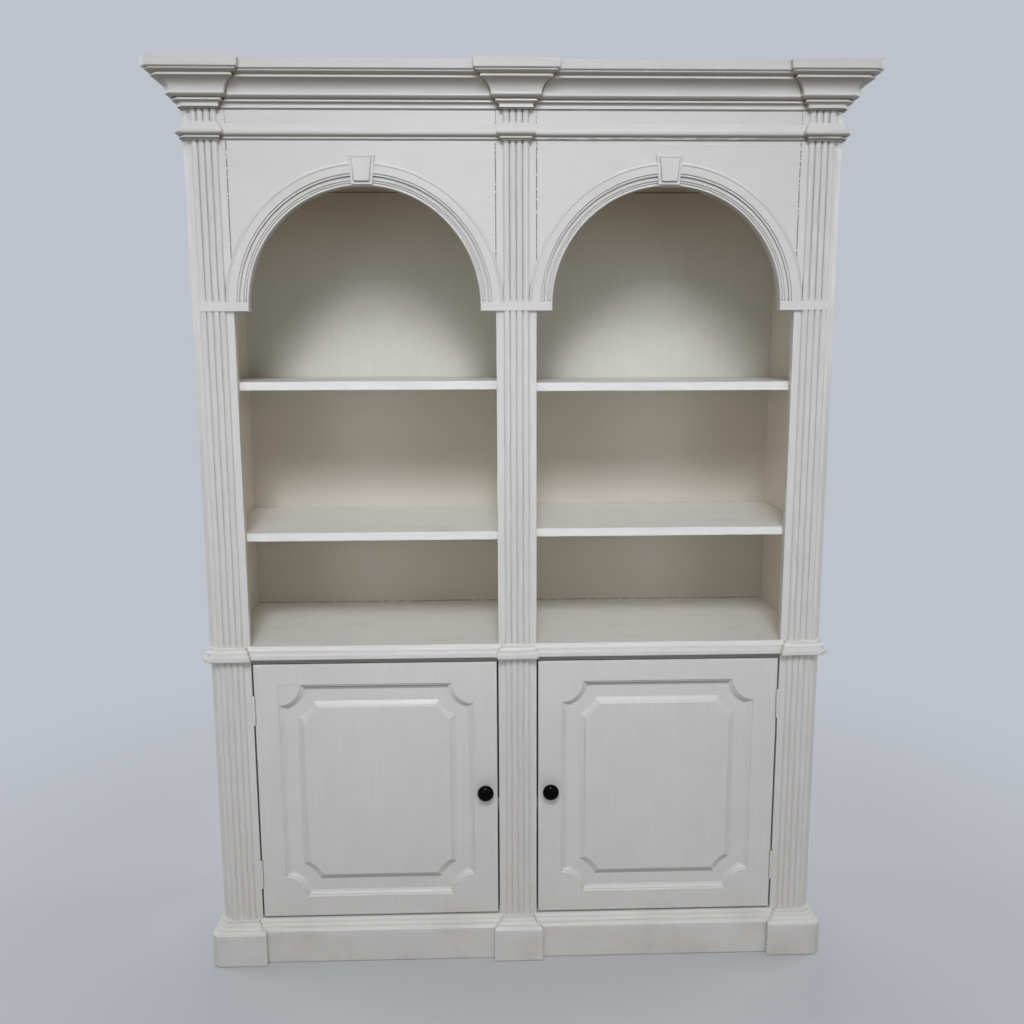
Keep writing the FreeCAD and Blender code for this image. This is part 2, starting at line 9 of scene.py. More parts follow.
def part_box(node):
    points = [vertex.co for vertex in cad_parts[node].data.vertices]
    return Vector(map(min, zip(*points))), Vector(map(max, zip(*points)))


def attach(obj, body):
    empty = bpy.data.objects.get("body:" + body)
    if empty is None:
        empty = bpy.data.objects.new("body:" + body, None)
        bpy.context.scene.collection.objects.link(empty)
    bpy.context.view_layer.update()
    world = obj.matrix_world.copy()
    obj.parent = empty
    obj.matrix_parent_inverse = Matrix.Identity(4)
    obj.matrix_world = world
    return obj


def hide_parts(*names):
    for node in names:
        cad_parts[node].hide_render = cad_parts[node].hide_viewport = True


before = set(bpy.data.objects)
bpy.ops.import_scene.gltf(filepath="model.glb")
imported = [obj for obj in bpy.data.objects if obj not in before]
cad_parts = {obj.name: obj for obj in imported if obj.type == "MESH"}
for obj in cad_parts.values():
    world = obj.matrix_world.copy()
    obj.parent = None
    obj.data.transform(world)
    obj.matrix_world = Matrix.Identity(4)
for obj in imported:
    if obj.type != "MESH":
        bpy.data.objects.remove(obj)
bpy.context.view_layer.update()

# A painted bookcase with two arches over two cupboards. The case, the doors and the shelves come from
# the frame. Mouldings, reeds, arches, keystones, imposts, doors and knobs are made anew here.

# Sizes from the part's source, in metres. The face of the stiles is the plane y = FACE.
FACE = -0.1685
BACK = 0.2415
TOP = 2.032
HALF = 0.705
CANT = 0.013
BREAK = 0.015
BAY_IN, BAY_OUT = 0.044, 0.612
BAY_MIDDLE = (BAY_IN + BAY_OUT) / 2
STRIP_MIDDLE = 0.656
HALF_STRIP = 0.028
REED, VALLEY, CREST = 0.014, 0.0035, 0.008
CUPBOARD, WAIST, DECK = 0.1035, 0.746, 0.777
IMPOST, IMPOST_TOP = 1.529, 1.5485
ASTRAGAL, FRIEZE, CORNICE = 1.885, 1.9165, 1.948
ARCH_RADIUS, ARCH_Z = 0.25, 1.541
ARCHIVOLT_WIDTH, ARCHIVOLT_PROUD = 0.05, 0.009
KEY_LOW, KEY_HIGH, KEY_FOOT, KEY_HEAD, KEY_GAP = 1.792, 1.854, 0.023, 0.028, 0.021
IMPOST_REACH = 0.034
CORNICE_REACH, ASTRAGAL_REACH, WAIST_REACH, BASE_REACH = 0.058, 0.010, 0.011, 0.022
CORNICE_MARGIN, ASTRAGAL_MARGIN, BLOCK_MARGIN = 0.0045, 0.004, 0.008
BASE_CAP = 0.075
DOOR_IN, DOOR_OUT, DOOR_LOW, DOOR_HIGH, DOOR_THICK = 0.048, 0.6084, 0.1065, 0.734, 0.019
KNOB_X, KNOB_Z, KNOB_RADIUS, KNOB_LENGTH = 0.0765, 0.42025, 0.019, 0.031

# Moulding outlines from the bottom up, as shares of reach and height. Two shares draw a line to that
# point, and four draw an arc through the first point to the second.
CORNICE_SHARES = [
    (0.004, -0.042), (0.022, -0.017), (0.062, -0.010), (0.054, 0.050), (0.056, 0.066),
    (0.096, 0.104, 0.150, 0.118), (0.206, 0.126), (0.192, 0.170), (0.150, 0.178), (0.168, 0.196),
    (0.300, 0.214, 0.366, 0.262), (0.350, 0.292), (0.453, 0.476, 0.688, 0.604), (0.752, 0.611),
    (0.724, 0.658), (0.690, 0.663), (0.700, 0.683), (0.800, 0.702, 0.878, 0.722),
    (0.896, 0.738, 0.886, 0.762), (0.900, 0.774), (0.985, 0.781), (1.0, 1.0),
]
ASTRAGAL_SHARES = [
    (0.008, -0.085), (0.05, -0.065), (0.34, 0.03), (0.28, 0.12), (0.12, 0.135), (0.12, 0.18),
    (0.46, 0.205), (1.0, 0.385, 0.82, 0.60), (0.58, 0.72), (0.12, 1.0),
]
WAIST_SHARES = [
    (0.66, 0.0), (0.96, 0.05), (1.0, 0.085), (0.985, 0.335), (0.94, 0.384, 0.82, 0.406), (0.70, 0.42),
    (0.74, 0.445), (0.70, 0.51), (0.52, 0.525), (0.56, 0.545), (0.54, 0.61), (0.43, 0.75, 0.18, 0.82),
    (0.09, 0.83), (0.11, 0.855), (0.02, 1.0),
]
BASE_CAP_SHARES = [
    (1.0, 0.0), (0.99, 0.15), (0.93, 0.20), (0.80, 0.33, 0.60, 0.385), (0.51, 0.395), (0.535, 0.43),
    (0.50, 0.455), (0.34, 0.54, 0.24, 0.69), (0.16, 0.705), (0.185, 0.74), (0.15, 0.77),
    (0.07, 0.85, 0.03, 1.0),
]
PLINTH_SHARES = [(0.94, 0.0), (1.0, 0.035), (1.0, 0.982), (0.97, 1.0)]
ARCHIVOLT_SHARES = [
    (0.0, 0.45), (0.035, 0.70, 0.070, 0.55), (0.076, 0.08), (0.130, 0.08), (0.138, 0.38),
    (0.186, 0.42), (0.193, 0.16), (0.220, 0.16), (0.228, 0.44), (0.338, 0.48), (0.346, 0.08),
    (0.402, 0.08), (0.410, 0.66), (0.480, 0.68), (0.486, 0.50), (0.506, 0.50), (0.513, 0.80),
    (0.838, 0.78), (0.848, 0.82), (0.866, 0.92), (0.890, 0.94), (0.975, 0.56), (1.0, 0.44),
]
KNOB_SHARES = [
    (0.47, 0.0), (0.47, 0.06), (0.36, 0.12), (0.32, 0.26, 0.42, 0.40), (0.66, 0.44),
    (1.0, 0.64, 0.80, 0.88), (0.50, 0.978, 0.12, 1.0), (0.0, 1.0),
]


# Shapes

def arc(start, through, end, steps=10):
    """The points after start on the circle through three points: centre plus radius at even angles."""
    a, b, c = (complex(*point) for point in (start, through, end))
    w = (c - a) / (b - a)
    centre = (b - a) * (w - abs(w) ** 2) / (w - w.conjugate()) + a
    turn = np.angle((c - centre) / (a - centre))
    middle = np.angle((b - centre) / (a - centre))
    if turn * middle < 0:
        turn -= math.copysign(2 * math.pi, turn)
    spots = centre + (a - centre) * np.exp(1j * turn * np.arange(1, steps + 1) / steps)
    return np.stack([spots.real, spots.imag], 1)


def outline(shares, reach, height):
    """A table of shares as points: out is the share times the reach, up is the share times the height."""
    size = np.array([reach, height])
    points = [np.array([shares[0]]) * size]
    for row in shares[1:]:
        row = np.array(row).reshape(-1, 2) * size
        points.append(row if len(row) == 1 else arc(points[-1][-1], *row))
    return np.vstack(points)


def eased(points, radius, closed=False, steps=3):
    """Rounds each sharp corner C between A and B: (1-t)^2 A + 2t(1-t) C + t^2 B, radius away from C."""
    before, after = np.roll(points, 1, 0) - points, np.roll(points, -1, 0) - points
    a, b = np.linalg.norm(before, axis=1), np.linalg.norm(after, axis=1)
    cosine = (before * after).sum(1) / (a * b)
    reach = np.where(cosine > -0.93, np.minimum(radius, 0.42 * np.minimum(a, b)), 0)
    if not closed:
        reach[[0, -1]] = 0
    start = points + before * (reach / a)[:, None]
    end = points + after * (reach / b)[:, None]
    t = np.linspace(0, 1, steps + 1)[None, :, None]
    curve = (1 - t) ** 2 * start[:, None] + 2 * t * (1 - t) * points[:, None] + t ** 2 * end[:, None]
    curve = curve.reshape(-1, points.shape[1])
    apart = np.linalg.norm(curve - np.roll(curve, 1, 0), axis=1) > 1e-7
    apart[0] = True
    return curve[apart]


def skin(grid, around=True, ends=True):
    """A grid of points as faces: point (i, j) joins (i+1, j), (i+1, j+1) and (i, j+1)."""
    rows, columns = grid.shape[:2]
    index = np.arange(rows * columns).reshape(rows, columns)
    wide = np.hstack([index, index[:, :1]]) if around else index
    faces = np.stack([wide[:-1, :-1], wide[:-1, 1:], wide[1:, 1:], wide[1:, :-1]], -1)
    faces = faces.reshape(-1, 4).tolist()
    if ends:
        faces += [index[0].tolist(), index[-1].tolist()]
    return grid.reshape(-1, 3), faces


def mirrored(part):
    """The same part on the other side of the middle: x turns to -x."""
    points, faces = part
    return points * [-1, 1, 1], faces


def both(part):
    return [mirrored(part), part]


def piece(name, parts, material, body="case", replaces=(), sharp=38):
    """Puts closed parts into one mesh, with its doubles merged and its faces outwards."""
    points, faces, start = [], [], 0
    for part_points, part_faces in parts:
        points.append(part_points)
        faces += [[start + corner for corner in face] for face in part_faces]
        start += len(part_points)
    mesh = bpy.data.meshes.new(name)
    mesh.from_pydata(np.vstack(points).tolist(), [], faces)
    form = bmesh.new()
    form.from_mesh(mesh)
    bmesh.ops.remove_doubles(form, verts=form.verts, dist=2e-7)
    bmesh.ops.recalc_face_normals(form, faces=form.faces)
    form.to_mesh(mesh)
    form.free()
    mesh.shade_smooth()
    mesh.set_sharp_from_angle(angle=math.radians(sharp))
    mesh.materials.append(material)
    item = bpy.data.objects.new(name, mesh)
    bpy.context.scene.collection.objects.link(item)
    weigh = item.modifiers.new("even_normals", "WEIGHTED_NORMAL")
    weigh.keep_sharp = True
    weigh.weight = 90
    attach(item, body)
    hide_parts(*replaces)


# Mouldings

def carried(profile, path, bases, cant=(), ease=0.0007, joint=0.0004):
    """A profile carried along a plan path: point (i, j) is corner i plus out_j times its mitre vector,
    at height up_j. Both corners of a cant move out at 45 degrees, so that it stays as wide all the way
    up. Each corner has two sections a little apart, and the ends are drawn in at the joint."""
    path = np.array(path, float)
    along = np.diff(path, axis=0)
    along /= np.linalg.norm(along, axis=1)[:, None]
    outward = np.stack([along[:, 1], -along[:, 0]], 1)
    a, b = outward[:-1], outward[1:]
    mitre = (a + b) / (1 + (a * b).sum(1, keepdims=True))
    mitre[list(cant)] = (1, -1)
    mitre = np.repeat(mitre, 2, 0)
    corner = np.repeat(path[1:-1], 2, 0)
    base = np.repeat(np.array(bases, float), 2, 0)
    shift = np.stack([-along[:-1], along[1:]], 1).reshape(-1, 2) * ease
    shift[[0, -1]] = 0
    drawn_in = np.zeros(len(corner))
    drawn_in[[0, -1]] = joint
    out = np.maximum(profile[None, :, 0] - drawn_in[:, None], 0.0001)
    plan = corner[:, None] + mitre[:, None] * out[:, :, None] + shift[:, None]
    up = np.broadcast_to(profile[:, 1], out.shape)
    front = np.dstack([plan, up])
    high, low = profile[-1, 1], profile[0, 1]
    ends = np.stack([np.column_stack([base, np.full(len(base), z)]) for z in (high, low)], 1)
    return skin(np.concatenate([front, ends], 1))


def level(name, shares, reach, low, high, margin, material):
    """The runs, returns and blocks of one moulding, each between its joints."""
    profile = eased(outline(shares, reach, high - low), 0.0009) + [0, low]
    core = HALF_STRIP + margin
    inner = STRIP_MIDDLE - HALF_STRIP - margin
    face, fore = FACE, FACE - BREAK
    side = FACE + CANT
    run = carried(profile, [(core, fore), (core, face), (inner, face), (inner, fore)],
                  [(core, face), (inner, face)])
    centre = carried(profile, [(-inner, face), (-core, face), (-core, fore), (core, fore), (core, face),
                               (inner, face)],
                     [(-core, face), (-core, face), (core, face), (core, face)])
    corner = carried(profile, [(core, face), (inner, face), (inner, fore), (HALF - CANT, fore),
                               (HALF, fore + CANT), (HALF, side), (HALF, BACK)],
                     [(inner, face), (inner, face), (HALF - CANT, face), (HALF - CANT, face), (HALF, side)],
                     cant=(2, 3))
    back = carried(profile, [(HALF, fore + CANT), (HALF, side), (HALF, BACK), (HALF, BACK + 1)],
                   [(HALF, side), (HALF, BACK)])
    if name == "cornice":
        piece("cornice_front_runs", both(run), material, replaces=["cornice_runs"])
        piece("cornice_middle_block", [centre], material, replaces=["cornice_centre_block"])
        piece("cornice_left_block", [mirrored(corner), mirrored(back)], material,
              replaces=["cornice_left_corner"])
        piece("cornice_right_block", [corner, back], material, replaces=["cornice_right_corner"])
    else:
        piece(name + "_lengths", both(run) + both(back), material, replaces=[name + "_runs"])
        piece(name + "_breaks", [centre] + both(corner), material, replaces=[name + "_blocks"])


# Pilasters

def reed_strip(middle, low, high, seed, soft, deep):
    """Reeds side by side: proud = valley + (crest - valley) * hump, where s runs from -1 to 1 over a
    reed, and hump mixes sqrt(1 - s^2) with the softer (1 + cos(pi * s)) / 2 of paint-filled valleys.
    Paint fills the valleys at the lower end, they are deeper under the moulding above, and both wander
    a little along the way."""
    across = np.linspace(0, 4, 4 * 12 + 1)
    s = 2 * (across % 1) - 1
    s[-1] = 1
    hump = (1 - soft) * np.sqrt(np.maximum(1 - (0.985 * s) ** 2, 0)) + soft * (1 + np.cos(math.pi * s)) / 2
    length = high - low
    along = np.concatenate([np.linspace(0, 0.012, 9)[:-1], np.linspace(0.012, length - 0.006, 60),
                            np.linspace(length - 0.006, length, 5)[1:]])
    wander = (np.sin(along * 23 + seed) + np.sin(along * 61 + 2.3 * seed)) / 2
    fill = np.exp(-(along / 0.004) ** 2)
    open_end = np.exp(-((length - along) / 0.007) ** 2)
    valley = VALLEY - deep + (CREST - VALLEY) * 0.7 * fill + 0.00022 * wander
    valley -= (valley - 0.0006) * open_end
    proud = valley[:, None] + (CREST - valley[:, None]) * hump[None]
    x = middle - HALF_STRIP + across * REED
    x = x[None] + 0.00012 * np.sin(along * 37 + 1.7 * seed)[:, None]
    front = np.dstack([x, FACE - proud, np.broadcast_to((low + along)[:, None], proud.shape)])
    side = np.dstack([x[:, [-1, 0]], np.full((len(along), 2), FACE), front[:, [-1, 0], 2]])
    return skin(np.concatenate([front, side], 1))


def pilaster(name, middle, node, material):
    """The four strips of one pilaster, between its mouldings."""
    zones = [(CUPBOARD, WAIST), (DECK, IMPOST), (IMPOST_TOP, ASTRAGAL), (FRIEZE, CORNICE)]
    forms = [(0.3, 0.0008), (0.1, 0.0009), (0.05, 0.0014), (0.0, 0.0016)]
    strips = [reed_strip(middle, low, high, 7 * middle + number, *forms[number])
              for number, (low, high) in enumerate(zones)]
    piece(name, strips, material, replaces=[node], sharp=50)


# Arches

def archivolt():
    """The moulding round the right-hand arch: a profile (radius, proud) turned from the impost's top,
    where sin(angle) = height / radius, to the gap behind the keystone, where cos(angle) = gap / radius."""
    profile = eased(outline(ARCHIVOLT_SHARES, ARCHIVOLT_WIDTH, ARCHIVOLT_PROUD), 0.0006)
    radius = np.concatenate([ARCH_RADIUS + profile[:, 0], [ARCH_RADIUS + ARCHIVOLT_WIDTH, ARCH_RADIUS]])
    proud = np.concatenate([profile[:, 1], [0, 0]])
    start = np.arcsin((IMPOST_TOP - ARCH_Z) / radius)
    end = np.arccos(KEY_GAP / radius)
    t = np.linspace(0, 1, 72)[:, None]
    angle = start + (end - start) * t
    half = np.dstack([BAY_MIDDLE + radius * np.cos(angle), np.broadcast_to(FACE - proud, angle.shape),
                      ARCH_Z + radius * np.sin(angle)])
    other = half * [-1, 1, 1] + [2 * BAY_MIDDLE, 0, 0]
    return [skin(half), skin(other)]


def ring(corners, radius=0.0012):
    """A closed outline with eased corners."""
    return eased(np.array(corners), radius, closed=True, steps=4)


def keystone():
    """A tapered plate with a smaller bevelled face on it: eased trapezoids of given inset and depth."""
    steps = [(0.0, 0.0), (0.0, 0.0082), (0.0006, 0.0093), (0.0015, 0.0098), (0.0046, 0.0098),
             (0.0052, 0.0096), (0.0056, 0.0091), (0.0063, 0.0091), (0.0066, 0.0125), (0.0073, 0.0143),
             (0.0082, 0.0148), (0.0092, 0.0149)]
    rings = []
    for inset, depth in steps:
        foot, head = KEY_FOOT - inset, KEY_HEAD - inset
        low, high = KEY_LOW + inset, KEY_HIGH - inset
        plan = ring([(-foot, low), (foot, low), (head, high), (-head, high)])
        rings.append(np.column_stack([BAY_MIDDLE + plan[:, 0], np.full(len(plan), FACE - depth),
                                      plan[:, 1]]))
    return skin(np.array(rings))


def block(x0, x1, z0, z1, proud, ease=0.0009):
    """A plain block on the face with eased edges: the same outline at four depths."""
    rings = []
    for inset, depth in [(0, 0), (0, proud - ease), (0.3 * ease, proud - 0.3 * ease), (ease, proud)]:
        plan = ring([(x0 + inset, z0 + inset), (x1 - inset, z0 + inset), (x1 - inset, z1 - inset),
                     (x0 + inset, z1 - inset)], ease)
        rings.append(np.column_stack([plan[:, 0], np.full(len(plan), FACE - depth), plan[:, 1]]))
    return skin(np.array(rings))


# Doors

CORNER_POINTS = 17
SUNK_SIDE, SUNK_LOW, SUNK_HIGH, NOTCH = 0.0552, 0.050, 0.050, 0.05


def notched(inset):
    """The sunk panel's outline at an inset: a rectangle whose corners are cut by circles round its
    full corners. Each corner is the arc centre plus radius at angles between the two straight sides."""
    left, right = DOOR_IN + SUNK_SIDE, DOOR_OUT - SUNK_SIDE
    low, high = DOOR_LOW + SUNK_LOW, DOOR_HIGH - SUNK_HIGH
    radius = NOTCH + inset
    spare = math.asin(max(min(inset / radius, 1), -1))
    t = np.linspace(0, 1, CORNER_POINTS)
    rings = []
    for x, z, way in [(left, low, 0), (right, low, 1), (right, high, 2), (left, high, 3)]:
        angle = (way + 1) * math.pi / 2 - spare - (math.pi / 2 - 2 * spare) * t
        rings.append(np.column_stack([x + radius * np.cos(angle), z + radius * np.sin(angle)]))
    return np.vstack(rings)


def rectangle(inset):
    """The door's outline at an inset, with as many points as the notched outline: each corner's
    points run from beside one end of its notch, round the door's corner, to beside the other end."""
    left, right, low, high = DOOR_IN + inset, DOOR_OUT - inset, DOOR_LOW + inset, DOOR_HIGH - inset
    notches = notched(0).reshape(4, CORNER_POINTS, 2)
    t = np.linspace(0, 1, CORNER_POINTS // 2 + 1)[:, None]
    rings = []
    for way, (x, z) in enumerate([(left, low), (right, low), (right, high), (left, high)]):
        first, last = notches[way][[0, -1]]
        start, end = ((x, first[1]), (last[0], z)) if way % 2 == 0 else ((first[0], z), (x, last[1]))
        start, middle, end = np.array(start), np.array((x, z)), np.array(end)
        rings += [start + (middle - start) * t, (middle + (end - middle) * t)[1:]]
    return np.vstack(rings)


def door():
    """The right-hand door as rings of one count: back, edge, eased front edge, face, then down the
    moulded bevel of the sunk panel, across the channel, up the raise and over the flat of the panel."""
    steps = [
        (rectangle, 0.0006, DOOR_THICK), (rectangle, 0.0, DOOR_THICK - 0.0006), (rectangle, 0.0, 0.0022),
        (rectangle, 0.0004, 0.0010), (rectangle, 0.0013, 0.0004), (rectangle, 0.0032, 0.0),
        (notched, -0.0006, 0.0), (notched, 0.0, 0.0003), (notched, 0.0003, 0.0012),
        (notched, 0.0012, 0.0026), (notched, 0.0020, 0.0034), (notched, 0.0044, 0.0036),
        (notched, 0.0050, 0.0042), (notched, 0.0060, 0.0054), (notched, 0.0092, 0.0074),
        (notched, 0.0132, 0.0093), (notched, 0.0144, 0.0095), (notched, 0.0160, 0.0095),
        (notched, 0.0411, 0.0095), (notched, 0.0419, 0.0092), (notched, 0.0475, 0.0062),
        (notched, 0.0524, 0.0036), (notched, 0.0532, 0.0037), (notched, 0.0537, 0.0036),
        (notched, 0.0541, 0.0024), (notched, 0.0552, 0.0008), (notched, 0.0560, 0.0005),
        (notched, 0.0580, 0.0005),
    ]
    rings = []
    for shape, inset, depth in steps:
        plan = shape(inset)
        rings.append(np.column_stack([plan[:, 0], np.full(len(plan), FACE + depth), plan[:, 1]]))
    return skin(np.array(rings))


def turned(shares, radius, length, centre, facets=64):
    """A shape turned round an axis along -Y: point (i, j) is radius_j at angle i, and length_j out."""
    profile = eased(outline(shares, radius, length), 0.0006)
    angle = np.linspace(0, 2 * math.pi, facets, endpoint=False)[None, :]
    out, along = profile[:, :1], profile[:, 1:]
    depth = np.broadcast_to(centre[1] - along, (len(profile), facets))
    return skin(np.dstack([centre[0] + out * np.cos(angle), depth, centre[2] + out * np.sin(angle)]))


# Materials

class Tree:
    """A material's nodes, with a short way to add one and join its inputs."""

    def __init__(self, name):
        self.material = bpy.data.materials.new(name)
        self.material.use_nodes = True
        self.nodes = self.material.node_tree.nodes
        self.links = self.material.node_tree.links
        self.shader = self.nodes["Principled BSDF"]
        self.place = self.add("TexCoord").outputs["Object"]
        self.axes = self.add("SeparateXYZ", {0: self.place}).outputs[:3]

    def add(self, kind, inputs=None, **settings):
        node = self.nodes.new("ShaderNode" + kind)
        for key, value in settings.items():
            setattr(node, key, value)
        for key, value in (inputs or {}).items():
            self.put(node.inputs[key], value)
        return node

    def put(self, socket, value):
        if isinstance(value, bpy.types.NodeSocket):
            self.links.new(value, socket)
        else:
            socket.default_value = value

    def noise(self, scale, detail=3, stretch=(1, 1, 1), roughness=0.5):
        where = self.add("Mapping", {"Vector": self.place, "Scale": stretch}).outputs[0]
        return self.add("TexNoise", {"Vector": where, "Scale": scale, "Detail": detail,
                                     "Roughness": roughness}).outputs[0]

    def span(self, value, low, high, to_low=0.0, to_high=1.0, smooth=True):
        return self.add("MapRange", {"Value": value, "From Min": low, "From Max": high, "To Min": to_low,
                                     "To Max": to_high},
                        interpolation_type="SMOOTHSTEP" if smooth else "LINEAR").outputs[0]

    def math(self, operation, a, b=0.5):
        return self.add("Math", {0: a, 1: b}, operation=operation).outputs[0]

    def all_of(self, *values):
        """The product of several masks."""
        product = values[0]
        for value in values[1:]:
            product = self.math("MULTIPLY", product, value)
        return product

    def mix(self, factor, a, b, blend="MIX"):
        node = self.add("Mix", data_type="RGBA", blend_type=blend)
        for socket, value in ((node.inputs[0], factor), (node.inputs[6], a), (node.inputs[7], b)):
            self.put(socket, value)
        return node.outputs[2]

    def bump(self, height, distance, normal=None, strength=1.0):
        inputs = {"Height": height, "Distance": distance, "Strength": strength}
        if normal is not None:
            inputs["Normal"] = normal
        return self.add("Bump", inputs).outputs[0]


OUTSIDE = (0.725, 0.692, 0.636, 1)
# The inside paint is the outside paint made lighter and warmer, which is painted light for the bounce light
# in the bays.
LIFTED_INSIDE = (0.855, 0.79, 0.68, 1)
SHADED_BACKING = (0.69, 0.636, 0.535, 1)
# The shelves and deck are painted lighter, as painted light and sheen on their tops.
LIGHTENED_SHELVES = (0.87, 0.84, 0.775, 1)
GRIME = (0.20, 0.16, 0.105, 1)
SOOT = (0.095, 0.085, 0.07, 1)


def shade(colour, by):
    """A colour times a number, no lighter than clean white paint."""
    return tuple(min(share * by, 0.90) for share in colour[:3]) + (1,)


def near(tree, value, spots, far, close):
    """One where a value is within close of any of the spots, fading to nothing at far."""
    apart = tree.math("ABSOLUTE", tree.math("SUBTRACT", value, spots[0]))
    for spot in spots[1:]:
        apart = tree.math("MINIMUM", apart, tree.math("ABSOLUTE", tree.math("SUBTRACT", value, spot)))
    return tree.span(apart, far, close)


def joint_line(tree):
    """The broken open joints between the stiles and the boards over the arches."""
    x, y, z = tree.axes
    line = near(tree, tree.math("ABSOLUTE", x), (BAY_OUT, BAY_IN), 0.0015, 0.0006)
    flush = near(tree, y, (FACE,), 0.0004, 0.0002)
    high = tree.span(z, IMPOST_TOP, IMPOST_TOP + 0.004)
    broken = tree.span(tree.noise(1.0, 2, (90, 1, 170)), 0.36, 0.46)
    return tree.all_of(line, flush, high, broken)


def mitre_dirt(tree):
    """Dirt along the cornice's inner mitres, where a 45-degree line in plan leaves the face."""
    x, y, z = tree.axes
    across, out = tree.math("ABSOLUTE", x), tree.math("SUBTRACT", FACE, y)
    edge = HALF_STRIP + CORNICE_MARGIN
    from_middle = tree.math("SUBTRACT", tree.math("SUBTRACT", across, edge), out)
    from_side = tree.math("SUBTRACT", tree.math("SUBTRACT", STRIP_MIDDLE - edge, across), out)
    spread = tree.math("MINIMUM", tree.math("ABSOLUTE", from_middle), tree.math("ABSOLUTE", from_side))
    broken = tree.span(tree.noise(1.0, 4, (170, 170, 210)), 0.40, 0.54)
    wide = tree.span(z, CORNICE + 0.020, CORNICE + 0.004, 1.0, 0.45)
    return tree.all_of(tree.span(tree.math("MULTIPLY", spread, wide), 0.0045, 0.0012),
                       tree.span(out, -0.001, 0.001),
                       tree.span(z, CORNICE - 0.004, CORNICE), broken)


def fascia_tone(tree):
    """The cornice's fascia and top, which are a little greyer."""
    return tree.span(tree.axes[2], 2.0125, 2.0140)


def shadow_lines_under_mouldings(tree):
    """Painted shadow lines, with dark filler in them, just under the cornice and the astragal."""
    return tree.all_of(near(tree, tree.axes[2], (CORNICE - 0.0026, ASTRAGAL - 0.0002), 0.0021, 0.0011),
                       tree.span(tree.noise(1.0, 2, (20, 20, 1)), 0.2, 0.5, 0.7, 1.0))


def ragged_fillet(tree):
    """The uneven thin fillet under the right-hand astragal, more filled with dark towards the right."""
    x, y, z = tree.axes
    level_band = tree.math("MULTIPLY", tree.span(z, ASTRAGAL - 0.001, ASTRAGAL),
                           tree.span(z, ASTRAGAL + 0.005, ASTRAGAL + 0.004))
    more = tree.span(x, 0.05, 0.55, 0.0, 0.14, False)
    uneven = tree.math("ADD", tree.noise(1.0, 4, (26, 1, 260), 0.6), more)
    return tree.all_of(level_band, tree.span(x, 0.055, 0.075), tree.span(uneven, 0.52, 0.62))


def caulk_ridge(tree):
    """A wandering ridge of filler on the right-hand arch panel, just below the astragal."""
    x, y, z = tree.axes
    wander = tree.math("MULTIPLY", tree.noise(1.0, 2, (22, 1, 1)), 0.014)
    line = near(tree, tree.math("ADD", z, wander), (ASTRAGAL - 0.0015,), 0.0022, 0.0006)
    return tree.all_of(line, tree.span(x, 0.06, 0.09), near(tree, y, (FACE,), 0.0004, 0.0002),
                       tree.span(tree.noise(1.0, 2, (14, 1, 14)), 0.42, 0.56))


def corner_lines(tree):
    """The faint square corner scored round the left door's upper outer notch."""
    x, y, z = tree.axes
    side, end = SUNK_SIDE - DOOR_OUT, DOOR_HIGH - SUNK_HIGH
    upright_line = tree.math("MULTIPLY", near(tree, x, [side], 0.0011, 0.0004),
                             near(tree, z, [end - 0.024], 0.0250, 0.0245))
    level_line = tree.math("MULTIPLY", near(tree, z, [end], 0.0011, 0.0004),
                           near(tree, x, [side + 0.024], 0.0250, 0.0245))
    return tree.math("MULTIPLY", tree.math("MAXIMUM", upright_line, level_line),
                     near(tree, y, (FACE,), 0.0004, 0.0002))


def cleat_shadow(tree):
    """The dark line on the back panel just below the strip under the ceiling."""
    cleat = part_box("ceiling_cleats")[0][2]
    return tree.math("MULTIPLY", near(tree, tree.axes[2], (cleat - 0.0012,), 0.0026, 0.0012),
                     tree.span(tree.noise(1.0, 2, (30, 1, 1)), 0.25, 0.5, 0.6, 1.0))


def deck_joint(tree):
    """The dark broken joint where the back panel meets the deck."""
    return tree.math("MULTIPLY", tree.span(tree.axes[2], DECK + 0.0026, DECK + 0.0010),
                     tree.all_of(tree.span(tree.axes[2], DECK - 0.002, DECK),
                                 tree.span(tree.noise(1.0, 3, (60, 1, 1)), 0.38, 0.52)))


def shade_under_ceiling(tree):
    """Painted shade, darker and warmer, high in the arches."""
    return tree.span(tree.axes[2], 1.575, 1.87)


def shade_on_lower_back(tree):
    """Painted shade on the lower part of the back panel, which is a little darker and yellower than the
    part in the arches.
    """
    return tree.span(tree.axes[2], 1.40, 1.28)


def outer_side(tree):
    """The outer faces of the case's sides."""
    return tree.span(tree.math("ABSOLUTE", tree.axes[0]), HALF - 0.002, HALF - 0.0005)


def rear(tree):
    """The back of the case, thinly primed, with the board showing through in streaks."""
    behind = tree.span(tree.axes[1], BACK - 0.0012, BACK - 0.0004)
    thin = tree.span(tree.noise(1.0, 5, (90, 1, 3), 0.62), 0.42, 0.66, 0.25, 0.85)
    return tree.math("MULTIPLY", behind, thin)


JOINT = (joint_line, SOOT, 0.88, 3.0)
MITRE = (mitre_dirt, (0.20, 0.15, 0.075, 1), 0.8, 0.6)
FASCIA = (fascia_tone, (0.66, 0.63, 0.58, 1), 0.85, 0)
SHADOW_LINES = (shadow_lines_under_mouldings, SOOT, 0.72, 0.8)
FILLET = (ragged_fillet, SOOT, 0.55, 0.8)
RIDGE = (caulk_ridge, (0.80, 0.77, 0.72, 1), 0.35, -2.2)


